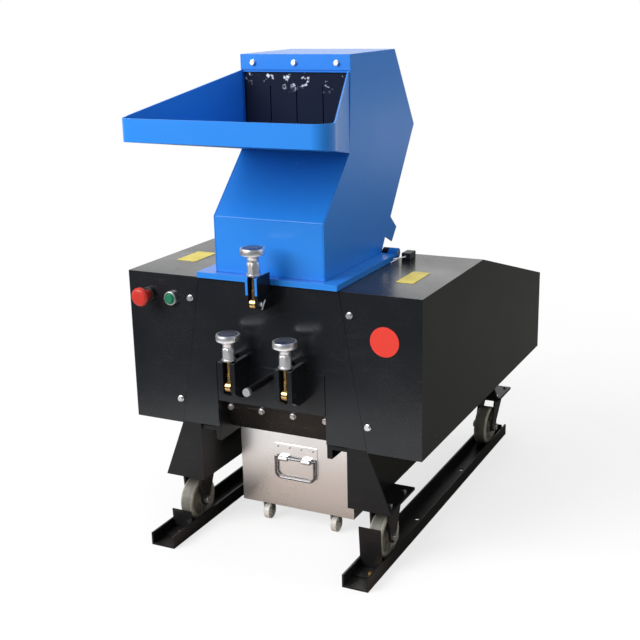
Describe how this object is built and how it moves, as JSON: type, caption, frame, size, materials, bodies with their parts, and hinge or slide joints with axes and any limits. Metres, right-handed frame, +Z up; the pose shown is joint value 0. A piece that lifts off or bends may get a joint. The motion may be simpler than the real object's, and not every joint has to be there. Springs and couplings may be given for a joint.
{
  "type": "plastic granulator",
  "caption": "Floor-standing plastic granulator with a tilting feed hopper, knife rotor, drop-down screen cradle and a roll-out collecting bin.",
  "frame": {"origin": "on the floor, at the middle of the machine's width and length", "axes": "+Z up, +X to the right seen from the feed side, -Y towards the feed tray"},
  "size_m": [0.671, 0.997, 1.0305],
  "materials": {
    "hopper_blue": "gloss, orange-peel powder coat",
    "body_black": "satin gloss powder coat",
    "frame_black": "satin, slightly dusty",
    "bright_zinc": "bright plated",
    "knob_aluminium": "turned, satin",
    "yellow_zinc": "yellow chromate",
    "caster_resin": "dull, dusty",
    "white_nylon": "satin",
    "stainless": "bright rolled sheet",
    "switch_red": "gloss",
    "switch_green": "gloss",
    "black_rubber": "matt, scuffed",
    "dark_steel": "oiled machined steel",
    "tool_steel": "ground",
    "motor_blue": "satin",
    "box_grey": "satin",
    "dark_plastic": "satin"
  },
  "bodies": {
    "frame": {"skids": "frame_black", "foot_bolts": "bright_zinc", "caster_forks": "frame_black", "caster_axles": "bright_zinc", "legs": "frame_black", "side_rails": "frame_black", "motor_plate": "frame_black", "front_fascia": "body_black", "chamber_plates": "frame_black", "chamber_walls": "frame_black", "bed_knives": "tool_steel", "bearing_housings": "dark_steel", "discharge_chute": "body_black", "front_apron": "body_black", "left_cover": "body_black", "right_cover": "body_black", "body_bolts": "bright_zinc", "control_bezels": "bright_zinc", "control_box": "box_grey", "motor_body": "motor_blue", "drive_belts": "black_rubber", "hinge_pins": "bright_zinc", "top_latch_ears": "hopper_blue", "interlock_switch": "dark_plastic"},
    "hopper": {"hopper_sides": "hopper_blue", "hopper_front": "hopper_blue", "hopper_back": "hopper_blue", "hopper_head": "hopper_blue", "feed_tray": "hopper_blue", "hopper_flange": "hopper_blue", "beam_screws": "bright_zinc"},
    "curtain": {"splash_curtain": "black_rubber"},
    "top_latch": {"top_swing_bolt": "yellow_zinc"},
    "top_latch_knob": {"top_knob": "knob_aluminium"},
    "left_latch": {"left_swing_bolt": "yellow_zinc"},
    "left_latch_knob": {"left_knob": "knob_aluminium"},
    "right_latch": {"right_swing_bolt": "yellow_zinc"},
    "right_latch_knob": {"right_knob": "knob_aluminium"},
    "cradle": {"cradle_door": "body_black", "cradle_frame": "frame_black", "screen": "tool_steel", "cradle_handle": "frame_black"},
    "rotor_set": {"rotor": "dark_steel", "rotor_knives": "tool_steel", "flywheel": "dark_steel", "rotor_pulley": "dark_steel"},
    "motor_shaft": {"motor_pulley": "dark_steel"},
    "front_left_caster": {"front_left_wheel": "caster_resin"},
    "front_right_caster": {"front_right_wheel": "caster_resin"},
    "rear_left_caster": {"rear_left_wheel": "caster_resin"},
    "rear_right_caster": {"rear_right_wheel": "caster_resin"},
    "bin": {"bin_body": "stainless", "bin_handle_plate": "stainless", "bin_caster_forks": "bright_zinc"},
    "bin_handle": {"bin_bail": "tool_steel"},
    "bin_front_pair": {"bin_front_wheels": "white_nylon"},
    "bin_rear_pair": {"bin_rear_wheels": "white_nylon"},
    "emergency_stop": {"estop_button": "switch_red"},
    "start": {"start_button": "switch_green"},
    "feeler": {"switch_lever": "dark_plastic"}
  },
  "joints": [
    {"name": "hopper_tilt", "type": "hinge", "parent": "frame", "child": "hopper", "pos_m": [0, -0.0255, 0.5998], "axis": [-1, 0, 0], "range_deg": [0, 64.5]},
    {"name": "curtain_swing", "type": "hinge", "parent": "hopper", "child": "curtain", "pos_m": [0, -0.1781, 0.9925], "axis": [1, 0, 0], "range_deg": [0, 55]},
    {"name": "top_latch_swing", "type": "hinge", "parent": "frame", "child": "top_latch", "pos_m": [0, -0.3835, 0.56], "axis": [1, 0, 0], "range_deg": [0, 100]},
    {"name": "top_knob_turn", "type": "hinge", "parent": "top_latch", "child": "top_latch_knob", "pos_m": [0, -0.3835, 0.616], "axis": [0, 0, 1], "continuous": true},
    {"name": "cradle_drop", "type": "hinge", "parent": "frame", "child": "cradle", "pos_m": [0, -0.0455, 0.4], "axis": [1, 0, 0], "range_deg": [0, 12]},
    {"name": "left_latch_swing", "type": "hinge", "parent": "cradle", "child": "left_latch", "pos_m": [-0.065, -0.3835, 0.377], "axis": [1, 0, 0], "range_deg": [0, 75]},
    {"name": "left_knob_turn", "type": "hinge", "parent": "left_latch", "child": "left_latch_knob", "pos_m": [-0.065, -0.3835, 0.433], "axis": [0, 0, 1], "continuous": true},
    {"name": "right_latch_swing", "type": "hinge", "parent": "cradle", "child": "right_latch", "pos_m": [0.065, -0.3835, 0.377], "axis": [1, 0, 0], "range_deg": [0, 75]},
    {"name": "right_knob_turn", "type": "hinge", "parent": "right_latch", "child": "right_latch_knob", "pos_m": [0.065, -0.3835, 0.433], "axis": [0, 0, 1], "continuous": true},
    {"name": "rotor_spin", "type": "hinge", "parent": "frame", "child": "rotor_set", "pos_m": [0, -0.1785, 0.47], "axis": [1, 0, 0], "continuous": true},
    {"name": "motor_spin", "type": "hinge", "parent": "frame", "child": "motor_shaft", "pos_m": [0, 0.2365, 0.335], "axis": [1, 0, 0], "continuous": true},
    {"name": "front_left_roll", "type": "hinge", "parent": "frame", "child": "front_left_caster", "pos_m": [-0.2285, -0.2765, 0.0543], "axis": [1, 0, 0], "continuous": true},
    {"name": "front_right_roll", "type": "hinge", "parent": "frame", "child": "front_right_caster", "pos_m": [0.2285, -0.2765, 0.0543], "axis": [1, 0, 0], "continuous": true},
    {"name": "rear_left_roll", "type": "hinge", "parent": "frame", "child": "rear_left_caster", "pos_m": [-0.2285, 0.4055, 0.0543], "axis": [1, 0, 0], "continuous": true},
    {"name": "rear_right_roll", "type": "hinge", "parent": "frame", "child": "rear_right_caster", "pos_m": [0.2285, 0.4055, 0.0543], "axis": [1, 0, 0], "continuous": true},
    {"name": "bin_slide", "type": "slide", "parent": "frame", "child": "bin", "axis": [0, -1, 0], "range_m": [0, 0.35]},
    {"name": "bin_handle_swing", "type": "hinge", "parent": "bin", "child": "bin_handle", "pos_m": [0, -0.234, 0.166], "axis": [-1, 0, 0], "range_deg": [0, 100]},
    {"name": "bin_front_roll", "type": "hinge", "parent": "bin", "child": "bin_front_pair", "pos_m": [0, -0.203, 0.018], "axis": [1, 0, 0], "continuous": true},
    {"name": "bin_rear_roll", "type": "hinge", "parent": "bin", "child": "bin_rear_pair", "pos_m": [0, 0.084, 0.018], "axis": [1, 0, 0], "continuous": true},
    {"name": "stop_push", "type": "slide", "parent": "frame", "child": "emergency_stop", "axis": [0, 1, 0], "range_m": [0, 0.006], "stiffness_N_per_m": 600},
    {"name": "start_push", "type": "slide", "parent": "frame", "child": "start", "axis": [0, 1, 0], "range_m": [0, 0.003], "stiffness_N_per_m": 400},
    {"name": "feeler_swing", "type": "hinge", "parent": "frame", "child": "feeler", "pos_m": [0.181, -0.036, 0.5955], "axis": [0, 0, 1], "range_deg": [0, 12], "stiffness_Nm_per_rad": 0.02}
  ],
  "couplings": [
    {"joint": "motor_spin", "follows": "rotor_spin", "ratio": 2.392}
  ]
}
